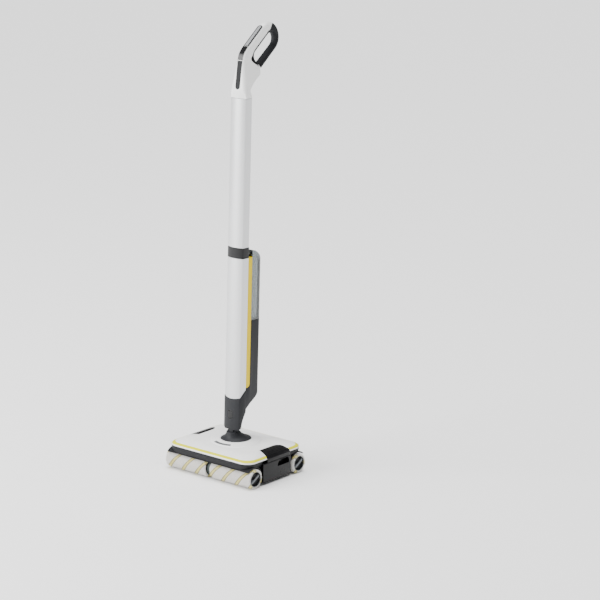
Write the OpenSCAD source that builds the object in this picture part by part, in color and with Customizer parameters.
/* [Overall] */
// Height of the handle's highest point above the floor
machine_h = 1217; // [1120:1:1320]
// Width of the head over the roller tips
head_w = 304; // [260:1:360]
// Distance between the front and rear roller axles
axle_span = 181; // [165:1:215]
// How far the stick leans back at its park stop, in degrees
park_lean = 1.8; // [0:0.1:4]

/* [Rollers] */
// Radius of a roller over its pile
roller_r = 27; // [23:0.5:32]
// Thickness of the microfibre pile and its backing
pile_t = 6; // [4:0.5:8]
// Wall of the roller's core tube
core_wall = 2; // [1.5:0.1:3]
// Length of the hexagonal drive stub inside each roller
stub_len = 52; // [40:1:70]
// Across-corners radius of the drive stub
stub_r = 8; // [7:0.5:10]
// Depth of the recess in a roller's end cap
cap_recess = 4; // [3:0.5:6]

/* [Drive] */
// Thickness of the gearbox arms that run between left and right rollers
arm_t = 12; // [11:0.5:16]
// Wall of the gearbox halves
case_wall = 2.2; // [1.6:0.1:3]
// Width of a drive belt
belt_w = 5; // [4:0.5:7]
// Radius of a pulley on a roller axle
axle_pulley_r = 13; // [11:0.5:14]
// Radius of a pulley on a layshaft
lay_pulley_r = 9; // [7:0.5:10]
// Gear module
gear_m = 1; // [0.9:0.05:1.1]
// Teeth on the motor pinion (an even number)
pinion_teeth = 16; // [16:2:18]
// Teeth on each layshaft gear (an even number)
lay_teeth = 32; // [28:2:34]
// Teeth on the reversing idler (an even number)
idler_teeth = 18; // [16:2:20]
// Radius of the motor
motor_r = 17; // [14:0.5:18]
// Length of the motor
motor_len = 56; // [40:1:62]

/* [Head housing] */
// Gap between the floor and the underside
ride_h = 8; // [6:0.5:12]
// Height of the white cover's lower edge above the floor
cover_edge_z = 69; // [67:0.5:74]
// Height of the white cover's flat top above the floor
cover_top_z = 84; // [82:0.5:90]
// Wall of the cover, bumper and chassis
shell_t = 2.5; // [2:0.1:3.5]
// Depth of the dark bumper band below the cover
bumper_h = 20; // [16:0.5:22]
// Distance of the cover's side from the roller tips
side_inset = 5; // [3:0.5:8]
// Length of each dirty water tank, measured across the head
dirty_tank_len = 60; // [45:1:66]
// Front-to-back length of a dirty tank's ribbed grip
grip_len = 92; // [70:1:104]

/* [Swivel] */
// Radius of the swivel's ball skirt
ball_r = 43; // [38:0.5:46]
// Height of the side-to-side axis above the floor
roll_z = 80; // [79:0.5:82]
// Height of the fore-and-aft axis above the floor
tilt_z = 104; // [102:0.5:108]
// Radius of the fork's round cheeks
cheek_r = 13; // [11:0.5:14]
// Width of the tongue between the cheeks
tongue_w = 16; // [14:1:24]
// Radius of the tilt pin
tilt_pin_r = 4; // [3:0.5:5]
// Radius of the roll pins
roll_pin_r = 4; // [3:0.5:5]

/* [Stick] */
// Width of the tubes
tube_w = 54; // [48:1:60]
// Depth of the tubes' flat sides
tube_side = 24.5; // [22:0.5:28]
// How far the tubes' front bulges forward of its corners
tube_bulge = 7; // [4:0.5:10]
// Wall of the tubes
tube_wall = 2; // [1.6:0.1:3]
// Height of the dark collar's lower edge
collar_z = 595; // [560:1:640]
// Height of the dark collar
collar_h = 29; // [20:1:40]
// Length of the upper tube
upper_tube_len = 403; // [320:1:480]
// Depth of the yellow tank cradle
cradle_d = 17; // [12:0.5:20]

/* [Fresh water tank] */
// Depth of the tank behind the cradle
tank_d = 42; // [34:1:48]
// Width of the tank
tank_w = 48; // [40:1:50]
// Height of the dark housing's mouth, where the clear part of the tank starts
mouth_z = 418; // [380:1:460]
// Height of the inserted part's bottom
tank_z = 246; // [240:1:270]
// Wall of the tank
tank_wall = 2; // [1.6:0.1:3]

/* [Handle] */
// Outer radius of the loop's round end
loop_r = 42.5; // [38:0.5:46]
// Slope of the loop's arms, in degrees above the stick's own horizontal
loop_slope = 40; // [32:1:48]
// Width of the loop's arms
arm_w = 24; // [20:1:28]
// Clear width of the finger gap
gap_w = 37; // [34:0.5:40]
// Clear length of the finger gap
gap_len = 97; // [88:1:100]
// Thickness of the soft lining in the finger gap
grip_t = 3; // [2:0.5:4]
// Width of the dark control strip
strip_w = 14; // [12:0.5:16]
// Travel of each button
button_travel = 1.2; // [0.8:0.1:1.6]

/* [Hidden] */
$fn = 48;
eps = 0.01;

// clearances
fit = 0.25;       // between fixed pieces that slide together
run = 0.05;       // radial clearance of a shaft in a bush
gap = 0.5;        // between moving casings

tilt_y = -7;

// handle loop centre: its top is the machine's highest point
loop_cy = 94;
loop_cz = (machine_h - tilt_z - loop_r + (loop_cy - tilt_y) * sin(park_lean)) / cos(park_lean) + tilt_z;

// head layout; the head's centre lies forward of the origin so that the whole machine's box is centred on it
tip = head_w / 2;
axle_y = axle_span / 2;
head_depth = axle_span + 2 * roller_r;
handle_back = loop_cy + loop_r + (loop_cz - tilt_z) * tan(park_lean);
head_y = -(handle_back - head_depth / 2) / 2;
arch_r = roller_r + 3.4;
arch_out = arch_r + shell_t;
roller_in = arm_t / 2 + 1;
core_r = roller_r - pile_t;

// cover outline, half sizes and corner radius
cover_x = tip - side_inset;
cover_y = axle_y + roller_r - 3;
cover_corner = 30;

// bay of each dirty tank
bay_out = tip - 3;
bay_in = bay_out - dirty_tank_len;
bay_y = axle_y - arch_out;
bay_top = cover_edge_z - 9;
floor_z = ride_h + shell_t;
grip_front = -grip_len * 0.39;
grip_back = grip_front + grip_len;
grip_in = cover_x - 38;

// posts that hold the cover
boss_places = [for (i = [-1, 1], j = [-1, 1]) [i * (bay_in - 7), j * (bay_y - 7)]];

// gear train, all shafts on one level
gear_z = roller_r + 1;
pinion_r = pinion_teeth * gear_m / 2;
lay_r = lay_teeth * gear_m / 2;
idler_r = idler_teeth * gear_m / 2;
front_lay_y = -(pinion_r + lay_r);
idler_y = pinion_r + idler_r;
rear_lay_y = idler_y + idler_r + lay_r;
gear_t = 6;
gear_x = arm_t / 2 + 2;
chamber_x = gear_x + gear_t + 2;
shaft_r = 4;
idler_pin_r = 3;
bush_r = 7;
belt_t = 1.5;
channel_r = axle_pulley_r + belt_t + 2.5;
arm_r = channel_r + case_wall;
belt_half = belt_w / 2;
channel_half = arm_t / 2 - case_wall;
lay_channel_r = lay_pulley_r + belt_t + 2.5;
case_top = gear_z + lay_r + gear_m + 1.5 + case_wall;
motor_x = chamber_x + case_wall;

// swivel
roll_y = 3;
brim_z = roll_z + 10.5;
brim_r = sqrt(ball_r * ball_r - 10.5 * 10.5);
cone_top = tilt_z + 8;
cone_r = 19;
cheek_out = tongue_w / 2 + fit + 7;
ear_t = 6;
ear_in = ball_r + gap;
lean_max = 58;
neck_back = 11.5;

// stick, in its own frame: upright, with the same height values as the machine
side_y = -14.5;
back_y = side_y + tube_side;
front_y = side_y - tube_bulge;
cradle_back = back_y + cradle_d;
tank_back = cradle_back + tank_d;
housing_back = tank_back;
tank_top = collar_z + 18;
neck_bottom = tilt_z + cheek_r + 1;
tube_bottom = 196;
neck_extra = 1.3;
upper_z = collar_z + collar_h;
// the upper tube has its named length at this height, and takes up any change of the machine's height
drawn_h = 1217;
upper_len = upper_tube_len + machine_h - drawn_h;
seam_z = upper_z + upper_len;

// rear line of the neck and spine: slim at the foot, then swelling back to the tank's housing
neck_sweep = [[-9, neck_bottom], [-8, 127], [-5.5, 138], [-2, 147], [3, 157], [9, 167]];
spine_sweep = [[16, 176], [28, 185], [42, 193.5], [57, 205], [65, 217]];

slope_y = cos(loop_slope);
slope_z = sin(loop_slope);
gap_shift = 8;
gap_end = 21;
front_arm_t = loop_r + gap_shift - gap_w / 2;
button_len = 27;
strip_half = strip_w / 2;
strip_deep = 2;
strip_from = 0.05;
strip_to = 7.87;
lens_from = 4.1;
lens_to = 6.6;

function d_front(x, w, bulge) = let (r = (w * w / 4 + bulge * bulge) / (2 * bulge)) r - sqrt(r * r - x * x);
function loop_point(a, n) = [loop_cy + a * slope_y + n * slope_z, loop_cz + a * slope_z - n * slope_y];

// ---------- frames ----------

module head_frame() {
    translate([0, head_y, 0]) children();
}

module stick_frame() {
    head_frame() translate([0, tilt_y, tilt_z]) rotate([-park_lean, 0, 0]) translate([0, -tilt_y, -tilt_z])
        children();
}

// draws a Y-Z outline and extrudes it along X from x0 to x1
module along_x(x0, x1) {
    translate([x0, 0, 0]) rotate([90, 0, 90]) linear_extrude(x1 - x0) children();
}

module rod_x(r, x0, x1, y = 0, z = 0) {
    translate([x0, y, z]) rotate([0, 90, 0]) cylinder(r = r, h = x1 - x0);
}

// frame of the loop: first axis up the arms, second axis across them towards the rear
module loop_plane() {
    translate([loop_cy, loop_cz]) rotate(loop_slope) children();
}

module both_sides() {
    children();
    mirror([1, 0, 0]) children();
}

module front_and_rear() {
    children();
    mirror([0, 1, 0]) children();
}

// ---------- outlines ----------

module round_rect(x, y, r) {
    hull() for (i = [-1, 1], j = [-1, 1]) translate([i * (x - r), j * (y - r)]) circle(r = r);
}

// cross-section of the tubes: flat back and sides, bulged front; g grows it on every side
module tube_outline(g = 0) {
    r = (tube_w * tube_w / 4 + tube_bulge * tube_bulge) / (2 * tube_bulge);
    intersection() {
        translate([0, front_y + r]) circle(r = r + g, $fn = 200);
        translate([-tube_w / 2 - g, front_y - g]) square([tube_w + 2 * g, back_y - front_y + 2 * g]);
    }
}

module tank_outline(g = 0) {
    r = 12 + g;
    x = tank_w / 2 + g;
    translate([-x, cradle_back - g]) square([2 * x, tank_d + 2 * g - r]);
    translate([-x + r, cradle_back - g]) square([2 * x - 2 * r, tank_d + 2 * g]);
    for (i = [-1, 1]) translate([i * (x - r), tank_back + g - r]) circle(r = r);
}

module gear_outline(teeth, m) {
    pitch = teeth * m / 2;
    base = pitch * cos(20);
    root = pitch - 1.2 * m;
    tip_r = pitch + 0.9 * m;
    slack = 0.12 / pitch * 180 / PI;
    flat_in = tan(20) * 180 / PI - 20;
    half = 90 / teeth - slack + flat_in;
    flank = [for (i = [0:4]) let (r = base + (tip_r - base) * i / 4, t = sqrt(r * r / base / base - 1))
        [r, half - (t * 180 / PI - atan(t))]];
    polygon([for (k = [0:teeth - 1]) let (a = k * 360 / teeth) each concat(
        [[root * cos(a - half), root * sin(a - half)]],
        [for (p = flank) [p[0] * cos(a - p[1]), p[0] * sin(a - p[1])]],
        [for (i = [4:-1:0]) let (p = flank[i]) [p[0] * cos(a + p[1]), p[0] * sin(a + p[1])]],
        [[root * cos(a + half), root * sin(a + half)]])]);
}

// ---------- rollers ----------

module sleeve() {
    rotate([0, 90, 0]) translate([0, 0, roller_in + 1]) difference() {
        cylinder(r = roller_r, h = tip - roller_in - 1.5);
        translate([0, 0, -1]) cylinder(r = core_r, h = tip);
    }
}

module core() {
    hub_r = stub_r + 3;
    stub_end = roller_in + stub_len;
    difference() {
        rod_x(core_r, roller_in, tip);
        rod_x(core_r - core_wall, roller_in + 3, stub_end - 3);
        rod_x(core_r - core_wall, stub_end, tip - cap_recess - 2);
        rod_x(core_r - core_wall - 1, tip - cap_recess, tip + 1);
        translate([roller_in - 1, 0, 0]) rotate([0, 90, 0])
            cylinder(r = stub_r + fit, h = stub_len + 2, $fn = 6);
    }
    difference() {
        rod_x(hub_r, roller_in + 1, stub_end - 1);
        translate([roller_in - 1, 0, 0]) rotate([0, 90, 0])
            cylinder(r = stub_r + fit, h = stub_len + 2, $fn = 6);
    }
    rotate([30, 0, 0]) translate([tip - cap_recess - 1, -core_r + core_wall + 0.5, -4])
        cube([cap_recess + 0.5, 2 * (core_r - core_wall - 0.5), 8]);
}

module roller_at(front, right) {
    head_frame() translate([0, front ? -axle_y : axle_y, roller_r]) mirror([right ? 0 : 1, 0, 0]) children();
}

module sleeve_front_left() { color("whitesmoke") roller_at(true, false) sleeve(); }
module sleeve_front_right() { color("whitesmoke") roller_at(true, true) sleeve(); }
module sleeve_rear_left() { color("whitesmoke") roller_at(false, false) sleeve(); }
module sleeve_rear_right() { color("whitesmoke") roller_at(false, true) sleeve(); }
module core_front_left() { color("dimgray") roller_at(true, false) core(); }
module core_front_right() { color("dimgray") roller_at(true, true) core(); }
module core_rear_left() { color("dimgray") roller_at(false, false) core(); }
module core_rear_right() { color("dimgray") roller_at(false, true) core(); }

// ---------- drive train ----------

module axle(y) {
    head_frame() translate([0, y, roller_r]) {
        rod_x(shaft_r, -roller_in, roller_in);
        rod_x(axle_pulley_r, -belt_half - 0.3, belt_half + 0.3);
        both_sides() {
            rod_x(axle_pulley_r + belt_t + 0.8, belt_half + 0.2, channel_half - 0.2);
            translate([arm_t / 2 + 0.4, 0, 0]) rotate([0, 90, 0])
                cylinder(r = stub_r, h = roller_in - arm_t / 2 - 0.4 + stub_len, $fn = 6);
        }
    }
}
module front_axle() { color("silver") axle(-axle_y); }
module rear_axle() { color("silver") axle(axle_y); }

module layshaft(y, turn) {
    head_frame() translate([0, y, gear_z]) {
        rod_x(shaft_r, -arm_t / 2, chamber_x - 0.4);
        rod_x(lay_pulley_r, -belt_half - 0.3, belt_half + 0.3);
        both_sides() rod_x(lay_pulley_r + belt_t + 0.8, belt_half + 0.2, channel_half - 0.2);
        translate([gear_x, 0, 0]) rotate([90, 0, 90]) rotate(turn) linear_extrude(gear_t)
            gear_outline(lay_teeth, gear_m);
    }
}
module front_layshaft() { color("ivory") layshaft(front_lay_y, 180 / lay_teeth); }
module rear_layshaft() { color("ivory") layshaft(rear_lay_y, 0); }

module motor_pinion() {
    color("silver") head_frame() translate([0, 0, gear_z]) {
        translate([gear_x, 0, 0]) rotate([90, 0, 90]) linear_extrude(gear_t)
            gear_outline(pinion_teeth, gear_m);
        rod_x(2.5, arm_t / 2 + 0.5, motor_x + motor_len - 4.5);
    }
}

module idler_gear() {
    color("ivory") head_frame() translate([0, idler_y, gear_z]) difference() {
        union() {
            translate([gear_x, 0, 0]) rotate([90, 0, 90]) rotate(180 / idler_teeth) linear_extrude(gear_t)
                gear_outline(idler_teeth, gear_m);
            rod_x(idler_pin_r + 2, gear_x - 1.5, gear_x + gear_t + 1.5);
        }
        rod_x(idler_pin_r + run, 0, chamber_x + 5);
    }
}

// a belt round a pulley of radius r0 at [y0, z0] and one of radius r1 at [y1, z1]
module belt(y0, z0, r0, y1, z1, r1) {
    color([0.1, 0.1, 0.1]) head_frame() along_x(-belt_half, belt_half) difference() {
        hull() {
            translate([y0, z0]) circle(r = r0 + fit + belt_t);
            translate([y1, z1]) circle(r = r1 + fit + belt_t);
        }
        hull() {
            translate([y0, z0]) circle(r = r0 + fit);
            translate([y1, z1]) circle(r = r1 + fit);
        }
    }
}
module front_belt() { belt(front_lay_y, gear_z, lay_pulley_r, -axle_y, roller_r, axle_pulley_r); }
module rear_belt() { belt(rear_lay_y, gear_z, lay_pulley_r, axle_y, roller_r, axle_pulley_r); }

// Y-Z outline of the whole gearbox; g shrinks it for the cavity
module arm_outline(g) {
    hull() {
        translate([-axle_y, roller_r]) circle(r = arm_r - g);
        translate([front_lay_y, gear_z]) circle(r = lay_channel_r + case_wall - g);
    }
    hull() {
        translate([axle_y, roller_r]) circle(r = arm_r - g);
        translate([rear_lay_y, gear_z]) circle(r = lay_channel_r + case_wall - g);
    }
    translate([front_lay_y, gear_z - lay_channel_r + g]) square([rear_lay_y - front_lay_y,
        2 * (lay_channel_r - g)]);
}

module chamber_outline(g) {
    r = lay_r + gear_m + 1.5 + case_wall - g;
    translate([front_lay_y, gear_z]) circle(r = r);
    translate([rear_lay_y, gear_z]) circle(r = r);
    translate([front_lay_y, gear_z - r]) square([rear_lay_y - front_lay_y, 2 * r]);
}

module shaft_holes(extra) {
    for (y = [-axle_y, axle_y]) rod_x(bush_r + extra, -tip, tip, y, roller_r);
}

module gear_case_left() {
    color([0.12, 0.14, 0.13]) head_frame() difference() {
        along_x(-arm_t / 2, 0) arm_outline(0);
        along_x(-channel_half, 1) arm_outline(case_wall);
        shaft_holes(0);
        for (y = [front_lay_y, rear_lay_y]) rod_x(bush_r, -tip, 0, y, gear_z);
    }
}

module gear_case_right() {
    lay_wall = arm_t / 2 - channel_half;
    color([0.12, 0.14, 0.13]) head_frame() difference() {
        union() {
            along_x(0, arm_t / 2) arm_outline(0);
            along_x(arm_t / 2 - lay_wall, chamber_x + case_wall) chamber_outline(0);
        }
        along_x(-1, channel_half) arm_outline(case_wall);
        along_x(arm_t / 2, chamber_x) chamber_outline(case_wall);
        shaft_holes(0);
        for (y = [front_lay_y, rear_lay_y]) rod_x(bush_r, 0, arm_t / 2 + 1, y, gear_z);
        rod_x(6, chamber_x - 1, chamber_x + case_wall + 1, 0, gear_z);
    }
    color([0.12, 0.14, 0.13]) head_frame()
        rod_x(idler_pin_r, channel_half, chamber_x + case_wall, idler_y, gear_z);
}

// plain bushes where the axles and layshafts pass through the gearbox walls
module shaft_bushes() {
    wall = arm_t / 2 - channel_half;
    color("goldenrod") head_frame() for (p = [[-axle_y, roller_r], [axle_y, roller_r],
            [front_lay_y, gear_z], [rear_lay_y, gear_z]])
        both_sides() difference() {
            rod_x(bush_r, channel_half, arm_t / 2, p[0], p[1]);
            rod_x(shaft_r + run, 0, tip, p[0], p[1]);
        }
}

module drive_motor() {
    color("gray") head_frame() translate([0, 0, gear_z]) difference() {
        union() {
            rod_x(motor_r, motor_x, motor_x + motor_len - 8);
            rod_x(motor_r - 1.5, motor_x + motor_len - 8, motor_x + motor_len - 3);
            rod_x(5, motor_x + motor_len - 3, motor_x + motor_len);
            for (i = [-1, 1]) translate([motor_x + motor_len - 3, i * 9 - 1.5, -0.5]) cube([5, 3, 1]);
        }
        rod_x(2.5 + run, motor_x - 1, motor_x + motor_len - 4);
        for (a = [0:60:300]) rotate([a, 0, 0]) translate([motor_x + 6, motor_r - 1.2, -3]) cube([14, 3, 6]);
    }
}

// ---------- head housing ----------

module roller_space(r) {
    for (y = [-axle_y, axle_y]) rod_x(r, -tip - 5, tip + 5, y, roller_r);
}

// screw bosses between chassis and cover

module chassis() {
    side_x = cover_x - 1;
    bumper_z = cover_edge_z - bumper_h;
    color([0.13, 0.13, 0.14]) head_frame() difference() {
        union() {
            translate([-side_x, -axle_y + 1, ride_h]) cube([2 * side_x, axle_span - 2, shell_t]);
            front_and_rear() rod_x(arch_out, -side_x, side_x, -axle_y, roller_r);
            both_sides() translate([bay_in - 1 - shell_t, -bay_y - 1, ride_h])
                cube([shell_t, 2 * bay_y + 2, bay_top - ride_h]);
            for (p = boss_places) translate([p[0], p[1], ride_h])
                cylinder(r = 4.5, h = cover_top_z - shell_t - ride_h);
        }
        roller_space(arch_r);
        // the arches are open below on the outside and stop at the floor
        translate([-tip, -axle_span, -1]) cube([head_w, axle_span - axle_y, bumper_z + 1]);
        translate([-tip, axle_y, -1]) cube([head_w, axle_span, bumper_z + 1]);
        translate([-tip, -axle_span, -10]) cube([head_w, 2 * axle_span, ride_h + 10]);
        // slot for the gearbox arms
        along_x(-arm_t / 2 - fit, arm_t / 2 + fit) {
            hull() for (y = [-axle_y, axle_y]) translate([y, roller_r]) circle(r = arm_r + fit);
        }
        along_x(arm_t / 2 - 1, motor_x + fit) offset(delta = fit) chamber_outline(0);
        // wells for the charging contacts and the screws
        for (i = [-1, 1]) translate([i * 36 - 6 - fit, 26 - fit, ride_h - 1])
            cube([12 + 2 * fit, 8 + 2 * fit, 9]);
        for (p = boss_places) translate([p[0], p[1], ride_h - 1]) {
            cylinder(r = 1.5, h = cover_top_z);
            cylinder(r = 3.2, h = 5);
        }
    }
}

module cover_slab(x, y, r, z) {
    translate([0, 0, z]) linear_extrude(eps) round_rect(x, y, r);
}

module bumper_frame() {
    z0 = cover_edge_z - bumper_h;
    color([0.15, 0.15, 0.16]) head_frame() difference() {
        hull() {
            cover_slab(cover_x - 12, cover_y - 3, cover_corner, z0);
            cover_slab(cover_x - 3, cover_y - 0.5, cover_corner, z0 + 8);
            cover_slab(cover_x, cover_y, cover_corner, cover_edge_z - 0.2);
        }
        translate([0, 0, z0 - 1]) linear_extrude(bumper_h + 2)
            round_rect(cover_x - 8, cover_y - 5, cover_corner - 4);
        roller_space(arch_out + 0.1);
        both_sides() translate([bay_in, -bay_y - 0.5, 0]) cube([tip, 2 * bay_y + 1, cover_top_z]);
    }
}

// outer form of the white cover; g shrinks it for the inside
module cover_form(g) {
    hull() {
        cover_slab(cover_x - g, cover_y - g, cover_corner - g, cover_edge_z - (g > 0 ? 1 : 0));
        cover_slab(cover_x - 1 - g, cover_y - 1 - g, cover_corner - g, cover_edge_z + 4 - g / 2);
        cover_slab(cover_x - 7 - g, cover_y - 8 - g, cover_corner - g, cover_edge_z + 8.5 - g);
        cover_slab(cover_x - 20 - g, cover_y - 26 - g, cover_corner - g, cover_top_z - 2 - g);
        cover_slab(cover_x - 34 - g, cover_y - 42 - g, cover_corner - g, cover_top_z - g);
    }
    // low dome round the swivel
    hull() {
        translate([0, roll_y, cover_top_z - 6 - g]) cylinder(r = ball_r + 30 - g, h = eps);
        translate([0, roll_y, cover_top_z + 1 - g]) cylinder(r = ball_r + 26 - g, h = eps);
        translate([0, roll_y, brim_z - 0.5 - g]) cylinder(r = ball_r + 5, h = eps);
    }
}

module grip_window(g) {
    translate([0, 0, bay_top]) linear_extrude(cover_top_z)
        polygon([[tip + 9, grip_front - 4 - g], [grip_in - g, grip_front + 10 - g],
            [grip_in - g, grip_back - 34 + g], [grip_in + 14, grip_back - 9 + g],
            [tip + 9, grip_back + 2 + g]]);
}

module head_cover() {
    color("white") head_frame() difference() {
        cover_form(0);
        cover_form(shell_t);
        translate([0, roll_y, roll_z]) sphere(r = ball_r + gap, $fn = 96);
        translate([0, roll_y, roll_z]) cylinder(r = brim_r + gap, h = 30);
        both_sides() grip_window(gap);
        difference() {
            translate([0, 0, cover_edge_z + 4]) linear_extrude(3) round_rect(tip, tip, 10);
            translate([0, 0, cover_edge_z + 3]) linear_extrude(5)
                round_rect(cover_x - 3.6, cover_y - 3.8, cover_corner - 3);
        }
    }
}

// yellow line set into the cover's edge
module accent_trim() {
    color("gold") head_frame() difference() {
        intersection() {
            translate([0, 0, cover_edge_z + 4]) linear_extrude(3) round_rect(cover_x - 1.6, cover_y - 1.8,
                cover_corner - 1);
            cover_form(0);
        }
        translate([0, 0, cover_edge_z + 3]) linear_extrude(5)
            round_rect(cover_x - 3.6, cover_y - 3.8, cover_corner - 3);
        both_sides() grip_window(gap);
    }
}

// blank plate on the dome in front of the swivel
module cover_badge() {
    color("gray") head_frame() difference() {
        intersection() {
            translate([0, roll_y, 0]) difference() {
                cylinder(r = ball_r + 20, h = cover_top_z + 12);
                translate([0, 0, -1]) cylinder(r = ball_r + 15, h = cover_top_z + 15);
            }
            translate([-24, -tip, 0]) cube([48, tip, cover_top_z + 12]);
            translate([0, 0, 0.8]) cover_form(0);
        }
        cover_form(0);
    }
}

module dirty_tank() {
    head_frame() {
        difference() {
            union() {
                translate([bay_in, -bay_y + gap, floor_z + gap])
                    cube([dirty_tank_len, 2 * (bay_y - gap), bay_top - floor_z - gap]);
                // outer panel, which fills the side between the rollers
                along_x(bay_out - 3, bay_out + 1) difference() {
                    translate([-bay_y, ride_h]) square([2 * bay_y, bay_top - ride_h]);
                    for (y = [-axle_y, axle_y]) translate([y, roller_r]) circle(r = arch_out + gap);
                }
            }
            translate([bay_in + tank_wall, -bay_y + gap + tank_wall, floor_z + gap + tank_wall])
                cube([dirty_tank_len - 8, 2 * (bay_y - gap - tank_wall),
                    bay_top - floor_z - gap - 2 * tank_wall]);
            // finger recess under the ribbed grip
            translate([bay_out - 4, grip_back - 40, bay_top - 15]) cube([9, 30, 11]);
            // sloping inlet that takes the water wiped off the rollers
            front_and_rear() translate([bay_in + 12, bay_y - 8, bay_top - 6]) cube([24, 12, 3]);
        }
    }
}
module dirty_tank_right() { color([0.16, 0.16, 0.18]) dirty_tank(); }
module dirty_tank_left() { color([0.16, 0.16, 0.18]) mirror([1, 0, 0]) dirty_tank(); }

// ribbed grip that carries the cover's surface on over the tank
module tank_grip() {
    head_frame() {
        difference() {
            intersection() {
                grip_window(0);
                union() {
                    cover_form(0);
                    translate([bay_in, -bay_y, bay_top])
                        cube([bay_out - bay_in, 2 * bay_y, cover_edge_z - bay_top + 0.1]);
                }
                translate([grip_in - 1, -bay_y, bay_top]) cube([tip, 2 * bay_y, 60]);
            }
            translate([grip_in + 3, grip_front + 14, bay_top + 2]) cube([22, grip_len - 56, 8]);
            for (k = [0:5]) translate([grip_in + 5 + k * 6, -tip, cover_top_z - 1.5 - k * k * 0.42])
                cube([2.2, head_w, 20]);
        }
    }
}
module tank_grip_right() { color([0.1, 0.1, 0.11]) tank_grip(); }
module tank_grip_left() { color([0.1, 0.1, 0.11]) mirror([1, 0, 0]) tank_grip(); }

// blades that wipe dirty water off the rollers
module wiper_strips() {
    color([0.3, 0.3, 0.3]) head_frame() front_and_rear() both_sides()
        along_x(chamber_x + case_wall + gap, cover_x - 4) intersection() {
            difference() {
                translate([-axle_y, roller_r]) circle(r = arch_r - 0.05);
                translate([-axle_y, roller_r]) circle(r = roller_r + 0.4);
            }
            translate([-axle_y, roller_r - 8]) square([tip, 4]);
        }
}

// pipes that wet the rollers, lying on the arches under the cover
module water_rails() {
    color("gainsboro") head_frame() front_and_rear() {
        translate([0, -axle_y + (arch_out + 3) * cos(50), roller_r + (arch_out + 3) * sin(50)]) difference() {
            rod_x(3, -bay_in, bay_in);
            rod_x(2, -bay_in + 1.5, bay_in - 1.5);
        }
    }
}

module joint_bracket() {
    plate_w = 36;
    color([0.2, 0.2, 0.21]) head_frame() difference() {
        union() {
            translate([-plate_w / 2, roll_y - ear_in - ear_t, case_top + fit])
                cube([plate_w, 2 * (ear_in + ear_t), 3]);
            for (i = [-1, 1]) translate([0, roll_y + i * (ear_in + ear_t / 2), 0]) rotate([90, 0, 0])
                translate([0, 0, -ear_t / 2]) {
                    translate([-6, case_top + 2, 0]) cube([12, roll_z - case_top - 2, ear_t]);
                    translate([0, roll_z, 0]) cylinder(r = 6, h = ear_t);
                }
        }
        translate([0, tip, roll_z]) rotate([90, 0, 0]) cylinder(r = roll_pin_r + run, h = head_w);
    }
}

module roll_pins() {
    color("silver") head_frame() for (i = [-1, 1])
        translate([0, roll_y + i * (ear_in + ear_t / 2 - 4), roll_z]) rotate([90, 0, 0])
            translate([0, 0, -ear_t / 2 - 4]) cylinder(r = roll_pin_r, h = ear_t + 8);
}

module head_screws() {
    color("silver") head_frame() for (p = boss_places) translate([p[0], p[1], ride_h + 1]) {
        difference() {
            cylinder(r = 2.8, h = 2.5);
            translate([0, 0, -1]) cylinder(r = 1.2, h = 2, $fn = 6);
        }
        cylinder(r = 1.4, h = 22);
    }
}

module charge_contacts() {
    color("goldenrod") head_frame() for (i = [-1, 1])
        translate([i * 36 - 6, 26, ride_h]) cube([12, 8, shell_t - 0.5]);
}

// ---------- swivel ----------

module swivel_turret() {
    skirt_low = roll_z - 9.5;
    color([0.17, 0.17, 0.18]) head_frame() difference() {
        union() {
            // spherical skirt
            translate([0, roll_y, 0]) intersection() {
                translate([0, 0, roll_z]) sphere(r = ball_r);
                translate([0, 0, skirt_low]) cylinder(r = ball_r + 1, h = brim_z - skirt_low);
            }
            hull() {
                translate([0, roll_y, brim_z - 1]) cylinder(r = brim_r - 0.8, h = 1.4);
                translate([0, tilt_y, cone_top - 1]) cylinder(r = cone_r, h = 1);
            }
            rod_x(cheek_r, -cheek_out, cheek_out, tilt_y, tilt_z);
        }
        // hollow underside, with bosses left for the roll pins
        difference() {
            translate([0, roll_y, 0]) intersection() {
                translate([0, 0, roll_z]) sphere(r = ball_r - 3);
                translate([0, 0, skirt_low - 1]) cylinder(r = ball_r, h = tilt_z - cheek_r - 4 - skirt_low);
            }
            for (i = [-1, 1]) translate([0, roll_y + i * (ball_r - 6), roll_z]) rotate([90, 0, 0])
                cylinder(r = 7.5, h = 9, center = true);
        }
        // slot in which the tongue swings back
        translate([-tongue_w / 2 - fit, tilt_y - cheek_r - gap, tilt_z - cheek_r - gap])
            cube([tongue_w + 2 * fit, 2 * ball_r, ball_r]);
        // relief for the neck when it leans back
        along_x(-tube_w, tube_w) translate([tilt_y, tilt_z]) rotate(-lean_max - park_lean - 1)
            translate([-20, cheek_r + 0.5]) square([20 + neck_back + 1.5, 60]);
        rod_x(tilt_pin_r, -tip, tip, tilt_y, tilt_z);
        for (i = [-1, 1]) translate([0, roll_y + i * (ball_r - 2), roll_z]) rotate([90, 0, 0])
            cylinder(r = roll_pin_r + run, h = 20, center = true);
    }
}

module tilt_pin() {
    color("silver") head_frame() rod_x(tilt_pin_r, -cheek_out + 1, cheek_out - 1, tilt_y, tilt_z);
}

// ---------- stick ----------

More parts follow.
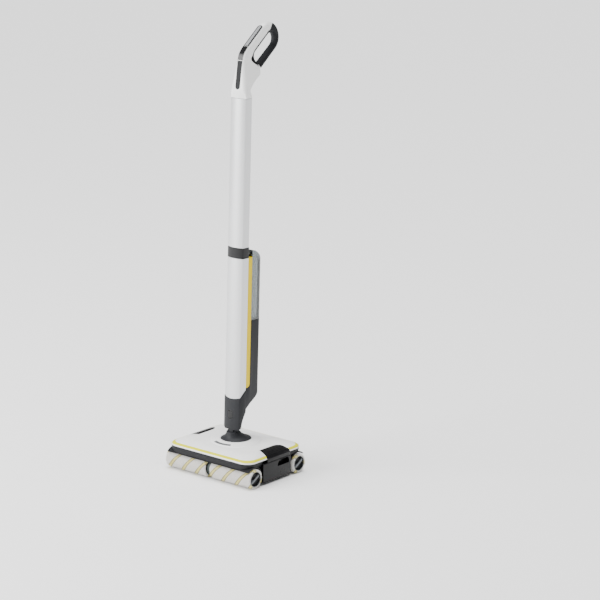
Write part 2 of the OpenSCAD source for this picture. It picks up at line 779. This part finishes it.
module neck_shell() {
    g = neck_extra;
    color([0.2, 0.2, 0.21]) stick_frame() difference() {
        union() {
            intersection() {
                translate([0, 0, neck_bottom]) linear_extrude(230 - neck_bottom) tube_outline(g);
                along_x(-tube_w, tube_w) polygon(concat([[front_y - 5, 203], [front_y - 5, neck_bottom + 6],
                    [front_y + 2, neck_bottom]], neck_sweep,
                    [[back_y + g, 170], [back_y + g, 229], [back_y - 2, 228], [side_y, 210]]));
            }
            // tongue of the tilt joint
            along_x(-tongue_w / 2, tongue_w / 2) {
                translate([tilt_y, tilt_z]) circle(r = cheek_r);
                polygon([[tilt_y - cheek_r, tilt_z], [tilt_y + cheek_r - 1, tilt_z],
                    [tilt_y + cheek_r - 2, tilt_z + 8], [-3, 128], [-6, 137], [tilt_y - cheek_r + 1, 137]]);
            }
        }
        // socket for the silver tube, and room for the pump below it
        translate([0, 0, tube_bottom]) linear_extrude(60) tube_outline(fit / 2);
        intersection() {
            translate([0, 0, neck_bottom]) linear_extrude(tube_bottom) tube_outline(-tube_wall);
            along_x(-tube_w, tube_w) polygon([[front_y, 140], [-8.5, 140], [-5, 148], [0, 157],
                [2, 162], [2, 230], [front_y, 230]]);
        }
        rod_x(tilt_pin_r + run, -tip, tip, tilt_y, tilt_z);
        translate([-8.5, front_y - g - 2, 150]) cube([17, 2 + g + 1, 23]);
    }
}

module neck_badge() {
    color([0.08, 0.08, 0.09]) stick_frame() translate([-8.2, front_y - neck_extra + 0.6, 150.3])
        cube([16.4, 1.6, 22.4]);
}

// dark spine that holds the lower half of the fresh water tank
module rear_housing() {
    color([0.18, 0.18, 0.19]) stick_frame() difference() {
        union() {
            intersection() {
                translate([0, 0, 140]) linear_extrude(mouth_z - 140) union() {
                    tank_outline(0);
                    translate([-tank_w / 2 - 1, back_y + neck_extra + 0.1])
                        square([tank_w + 2, cradle_back - back_y - neck_extra + 2]);
                }
                along_x(-tube_w, tube_w) polygon(concat([[back_y, 168]], spine_sweep,
                    [[housing_back - 2, 222], [housing_back, 236],
                        [housing_back, mouth_z], [cradle_back, mouth_z],
                    [cradle_back, 243.8], [cradle_back - 2.4, 236.7], [cradle_back - 6.8, 232.8],
                    [back_y, 232.8]]));
            }
        }
        // bay for the tank
        translate([0, 0, tank_z - 12]) linear_extrude(mouth_z) tank_outline(-tank_wall);
        // outlet for the water valve
        translate([0, cradle_back + tank_d / 2, 214]) cylinder(r = 4, h = 46);
    }
}

module lower_tube() {
    color("silver") stick_frame() difference() {
        translate([0, 0, tube_bottom]) linear_extrude(collar_z - tube_bottom) tube_outline();
        translate([0, 0, tube_bottom - 1]) linear_extrude(collar_z) tube_outline(-tube_wall);
    }
}

module tank_cradle() {
    x = tube_w / 2 - 2;
    color("gold") stick_frame() difference() {
        along_x(-x, x) {
            polygon([[back_y + 0.1, collar_z], [back_y + 0.1, 233], [cradle_back - 7, 233],
                [cradle_back - 2.5, 237], [cradle_back - 0.2, 244], [cradle_back - 0.2, collar_z]]);
        }
        translate([-x + 3, back_y + 3, 250]) cube([2 * x - 6, cradle_d, collar_z - 262]);
    }
}

module collar() {
    color([0.12, 0.12, 0.13]) stick_frame() difference() {
        translate([0, 0, collar_z]) linear_extrude(collar_h) tube_outline(0.3);
        translate([0, 0, collar_z - 1]) linear_extrude(collar_h + 2) tube_outline(-tube_wall - 1);
        translate([0, back_y + 1, collar_z + collar_h / 2]) cube([16, 1, 14], center = true);
    }
}

module upper_tube() {
    color("silver") stick_frame() difference() {
        translate([0, 0, upper_z]) linear_extrude(upper_len) tube_outline();
        translate([0, 0, upper_z - 1]) linear_extrude(upper_len + 2) tube_outline(-tube_wall);
    }
}

// seven cells in two columns
module battery_cells() {
    cell_r = 9.1;
    cell_h = 65;
    top = collar_z - 12;
    color("seagreen") stick_frame() for (k = [0:3], i = [-1, 1]) if (!(k == 3 && i == 1))
        translate([i * 9.8, -4.3, top - (k + 1) * (cell_h + 0.5)]) {
            cylinder(r = cell_r, h = cell_h - 1.5);
            cylinder(r = 3, h = cell_h);
        }
}

module battery_frame() {
    top = collar_z - 10;
    color("dimgray") stick_frame() difference() {
        for (z = [top - 266, top - 203, top - 70, top - 3]) translate([-tube_w / 2 + tube_wall + 1.5, -14, z])
            cube([tube_w - 2 * tube_wall - 3, 20.5, 5]);
        for (i = [-1, 1]) translate([i * 9.8, -4.3, top - 264]) cylinder(r = 9.2, h = 262);
    }
}

module main_board() {
    color("darkgreen") stick_frame() {
        translate([-21, 2, 208]) cube([42, 1.6, 100]);
        for (k = [0:3]) translate([-14 + k * 8, -6, 218]) cube([5, 8, 12]);
        translate([-8, -4, 250]) cube([18, 6, 18]);
        for (k = [0:2]) translate([-12 + k * 12, -4, 288]) rotate([-90, 0, 0]) cylinder(r = 4, h = 6);
    }
}

module water_pump() {
    color("dimgray") stick_frame() translate([0, -8, 0]) {
        translate([0, -2.5, 154]) cylinder(r = 7.5, h = 14);
        translate([-11, -9, 168]) cube([22, 18, 16]);
        for (i = [-1, 1]) translate([i * 6, 4, 184]) cylinder(r = 2.2, h = 8);
    }
}

// ---------- handle ----------

// stations along the handle: a point on its front line, the slope there in degrees, how deep
// behind that line the section starts and ends, its half width, corner radius and front bulge
function arm_station(a, d0, d1, w, r) =
    let (p = loop_point(a, -loop_r)) [p[0], p[1], loop_slope, d0, d1, w, r, 0];

function rear_station(a) = let (p = loop_point(a, loop_r))
    [p[0], p[1], loop_slope - 180, 0, loop_r - gap_shift - gap_w / 2, arm_w / 2 - 2.5, 6.5, 0];

// how far from the loop's centre the finger gap's rim lies in direction t
function gap_reach(t) = let (c = [gap_end - gap_w / 2, -gap_shift], u = c[0] * cos(t) + c[1] * sin(t))
    u + sqrt(u * u - c * c + gap_w * gap_w / 4);

function loop_station(t, w) =
    let (p = [loop_cy + loop_r * cos(t + loop_slope), loop_cz + loop_r * sin(t + loop_slope)],
        d = loop_r - gap_reach(t))
    [p[0], p[1], t + loop_slope - 90, 0, d, w, min(w, d / 2) - 1, 0];

front_stations = [
    [front_y + 0.3, seam_z + 22, 88, 0, 31, 26, 10, 4],
    [front_y + 2.7, seam_z + 45, 86, 0, 50, 22.5, 11, 2],
    [front_y + 5, seam_z + 66, 85, 0, 74, 18.5, 11, 1],
    [front_y + 7, seam_z + 86, 84, 0, 66, 15, 10, 0.5],
    [front_y + 8.6, seam_z + 99, 80, 0, 45, 13.6, 9.5, 0.3],
    [front_y + 12, seam_z + 113, 68, 0, 36, 13, 9, 0.2],
    [front_y + 21.5, seam_z + 127, 52, 0, 34, 12.4, 9, 0],
    arm_station(-62, 0, front_arm_t, arm_w / 2, 9),
    arm_station(0, 0, front_arm_t, arm_w / 2, 9)];
seam_stations = [for (h = [0, 6]) [front_y, seam_z + h, 90, 0, back_y - front_y, tube_w / 2, 2, tube_bulge]];
end_stations = concat([front_stations[8]],
    [for (t = [70, 47, 24, 1, -22, -45, -68]) loop_station(t, arm_w / 2 - 2.5 * (90 - t) / 180)],
    [for (a = [-4, -32, -60, -88]) rear_station(a)]);

// closed ring of points round one station; g shrinks it
function ring(s, g) =
    let (x = s[5] - g, r = max(s[6] - g, 1), d1 = s[4] - g, a = s[2] - 90, k = s[7] / s[5] / s[5],
        d0 = s[3] + g, front = [for (i = [-2:2]) let (u = i * (x - r) / 3) [u, d0 + k * u * u]],
        e = d0 + k * (x - r) * (x - r) + r,
        flat = concat(front,
            [for (i = [0:4]) [x - r + r * sin(i * 22.5), e - r * cos(i * 22.5)]],
            [for (i = [0:4]) [x - r + r * cos(i * 22.5), d1 - r + r * sin(i * 22.5)]],
            [for (i = [0:4]) [-x + r - r * sin(i * 22.5), d1 - r + r * cos(i * 22.5)]],
            [for (i = [0:4]) [-x + r - r * cos(i * 22.5), e - r * sin(i * 22.5)]]))
    [for (p = flat) [p[0], s[0] + p[1] * cos(a), s[1] + p[1] * sin(a)]];

module loft(list, g = 0) {
    n = 25;
    last = len(list) - 1;
    polyhedron(points = [for (s = list) each ring(s, g)], faces = concat(
        [[for (i = [0:n - 1]) i], [for (i = [n - 1:-1:0]) last * n + i]],
        [for (k = [0:last - 1], i = [0:n - 1]) [k * n + i, (k + 1) * n + i, (k + 1) * n + (i + 1) % n]],
        [for (k = [0:last - 1], i = [0:n - 1]) [k * n + i, (k + 1) * n + (i + 1) % n, k * n + (i + 1) % n]]));
}

module handle_solid() {
    loft(concat(seam_stations, front_stations));
    loft(end_stations);
}

module handle_hollow() {
    g = 2.4;
    low = [for (h = [-1, 6]) [front_y, seam_z + h, 90, 0, back_y - front_y, tube_w / 2, 2, tube_bulge]];
    loft(concat(low, [for (i = [0:7]) front_stations[i]],
        [arm_station(-5, 0, front_arm_t, arm_w / 2, 9)]), g);
}

// side view of the finger gap; g grows it
module gap_outline(g) {
    translate([loop_cy, loop_cz]) rotate(loop_slope) hull() {
        translate([gap_end - gap_w / 2, -gap_shift]) circle(r = gap_w / 2 + g);
        translate([gap_end - gap_len + 14, -gap_shift + gap_w / 2 - 14]) circle(r = 14 + g);
        translate([gap_end - gap_len + 12, -gap_shift - gap_w / 2 + 12]) circle(r = 12 + g);
    }
}

// front line of the handle between stations t0 and t1, as a band from h0 to h1 above the surface
function strip_point(t, h) =
    let (n = min(floor(t), 7), f = t - n, a = front_stations[n], b = front_stations[n + 1],
        s = a + (b - a) * f) [s[0] - h * sin(s[2]), s[1] + h * cos(s[2])];
function strip_steps(t0, t1) = concat([t0], [for (n = [ceil(t0 + eps):1:floor(t1 - eps)]) n], [t1]);

module strip_band(t0, t1, h0, h1) {
    list = strip_steps(t0, t1);
    polygon(concat([for (t = list) strip_point(t, h1)],
        [for (i = [len(list) - 1:-1:0]) strip_point(list[i], h0)]));
}

module button_slot(k, g) {
    translate([0, loop_cy, loop_cz]) rotate([loop_slope, 0, 0])
        translate([-4 - g, -54 + k * (button_len + 3) - g, loop_r - 6])
            cube([8 + 2 * g, button_len - 3 + 2 * g, 12]);
}

module handle_half(side) {
    color("white") stick_frame() intersection() {
        difference() {
            handle_solid();
            handle_hollow();
            along_x(-tube_w, tube_w) gap_outline(grip_t);
            along_x(-strip_half - 0.1, strip_half + 0.1) strip_band(strip_from, strip_to, -strip_deep, 6);
            button_slot(0, 0.5);
            button_slot(1, 0.5);
            grip_saddle(0.05);
        }
        translate([side > 0 ? 0 : -tube_w, -tube_w, seam_z - 1]) cube([tube_w, 4 * tube_w, 300]);
    }
}
module handle_shell_left() { handle_half(-1); }
module handle_shell_right() { handle_half(1); }

// soft cover let into the outer face of the loop, from its top down the rear arm
module grip_saddle(g) {
    along_x(-6.5 - g, 6.5 + g) translate([loop_cy, loop_cz]) rotate(loop_slope) difference() {
        union() {
            circle(r = loop_r + 0.3, $fn = 96);
            translate([-70, -loop_r - 0.3]) square([70, 30]);
        }
        circle(r = loop_r - grip_t - g, $fn = 96);
        translate([-71, -loop_r + grip_t + g]) square([71, 3 * loop_r]);
        translate([-3 * loop_r, 0]) square([6 * loop_r - 3 * loop_r + 10, 2 * loop_r]);
    }
}

module loop_grip() {
    color([0.24, 0.24, 0.25]) stick_frame() {
        intersection() {
            along_x(-arm_w / 2 - 2, arm_w / 2 + 2) difference() {
                gap_outline(grip_t - 0.05);
                gap_outline(0);
            }
            handle_solid_band();
        }
        grip_saddle(0);
    }
}

// width limit of the finger gap's lining
module handle_solid_band() {
    along_x(-arm_w / 2 + 2.7, arm_w / 2 - 2.7) gap_outline(grip_t + 1);
}

module control_strip() {
    color([0.1, 0.1, 0.11]) stick_frame() difference() {
        union() {
            along_x(-strip_half, strip_half)
                strip_band(strip_from + 0.02, lens_from - 0.03, -strip_deep + 0.1, 0.3);
            along_x(-strip_half, strip_half)
                strip_band(lens_to + 0.02, strip_to - 0.01, -strip_deep + 0.1, 0.3);
        }
        button_slot(0, 0.4);
        button_slot(1, 0.4);
    }
}

module display_lens() {
    color([0.05, 0.05, 0.06]) stick_frame()
        along_x(-strip_half, strip_half) strip_band(lens_from, lens_to, -strip_deep + 0.1, 0.6);
}

module handle_board() {
    color("darkgreen") stick_frame() translate([0, loop_cy, loop_cz]) rotate([loop_slope, 0, 0]) {
        translate([-7, -58, loop_r - 10]) cube([14, 52, 1.6]);
        for (k = [0, 1]) translate([-3, -44 + k * (button_len + 3), loop_r - 8.5]) cube([6, 6, 2]);
    }
}

module button(k) {
    stick_frame() translate([0, loop_cy, loop_cz]) rotate([loop_slope, 0, 0])
        translate([0, -54 + k * (button_len + 3), loop_r - 3.6]) {
            translate([-4, 0, 0]) cube([8, button_len - 3, 3.4 + button_travel]);
        }
}
module power_button() { color([0.7, 0.7, 0.72]) button(0); }
module boost_button() { color([0.7, 0.7, 0.72]) button(1); }

// ---------- fresh water tank ----------

module tank_side(g) {
    polygon([[cradle_back + g, tank_z + g], [tank_back - g, tank_z + g],
        [tank_back - g, tank_top - 46], [tank_back - 2 - g, tank_top - 34],
        [tank_back - 8 - g, tank_top - 21 - g],
        [tank_back - 17 - g, tank_top - 10 - g], [tank_back - 30, tank_top - 3 - g],
        [cradle_back, tank_top - g], [cradle_back - 9 + g, tank_top - g],
        [cradle_back - 9 + g, collar_z + 7 + g],
        [cradle_back + g, collar_z + 7 + g]]);
}

module fresh_tank() {
    lip_x = tank_w / 2 - 6;
    below = tank_wall + fit;
    color([0.55, 0.57, 0.58]) stick_frame() difference() {
        intersection() {
            union() {
                translate([0, 0, tank_z]) linear_extrude(mouth_z - tank_z + 1) tank_outline(-below);
                translate([0, 0, mouth_z + gap]) linear_extrude(tank_top - mouth_z) tank_outline(0);
                translate([-lip_x, cradle_back - 12, mouth_z + 10]) cube([2 * lip_x, 20, tank_top - mouth_z]);
            }
            along_x(-tube_w, tube_w) tank_side(0.3);
        }
        intersection() {
            union() {
                translate([0, 0, tank_z + tank_wall]) linear_extrude(tank_top)
                    tank_outline(-below - tank_wall);
                translate([0, 0, mouth_z + gap + 4]) linear_extrude(tank_top - mouth_z)
                    tank_outline(-tank_wall);
            }
            along_x(-tube_w, tube_w) tank_side(0.3 + tank_wall);
        }
        translate([0, cradle_back + tank_d / 2, tank_z - 5]) cylinder(r = 9, h = 12);
    }
}

// filler cap with the outlet valve, under the tank
module tank_cap() {
    color([0.2, 0.2, 0.21]) stick_frame() translate([0, cradle_back + tank_d / 2, 0]) {
        difference() {
            union() {
                translate([0, 0, tank_z - 10]) cylinder(r = 14, h = 10.2);
                translate([0, 0, tank_z - 1]) cylinder(r = 8.9, h = 6);
                translate([0, 0, tank_z - 24]) cylinder(r = 3.2, h = 16);
            }
            translate([0, 0, tank_z - 25]) cylinder(r = 1.6, h = 30);
        }
    }
}

chassis();
bumper_frame();
head_cover();
accent_trim();
cover_badge();
gear_case_left();
gear_case_right();
drive_motor();
front_belt();
rear_belt();
shaft_bushes();
wiper_strips();
water_rails();
joint_bracket();
roll_pins();
head_screws();
charge_contacts();
motor_pinion();
front_layshaft();
idler_gear();
rear_layshaft();
front_axle();
rear_axle();
sleeve_front_left();
sleeve_front_right();
sleeve_rear_left();
sleeve_rear_right();
core_front_left();
core_front_right();
core_rear_left();
core_rear_right();
dirty_tank_left();
dirty_tank_right();
tank_grip_left();
tank_grip_right();
swivel_turret();
tilt_pin();
neck_shell();
rear_housing();
neck_badge();
lower_tube();
tank_cradle();
collar();
battery_cells();
battery_frame();
main_board();
water_pump();
upper_tube();
handle_shell_left();
handle_shell_right();
loop_grip();
control_strip();
display_lens();
handle_board();
power_button();
boost_button();
fresh_tank();
tank_cap();
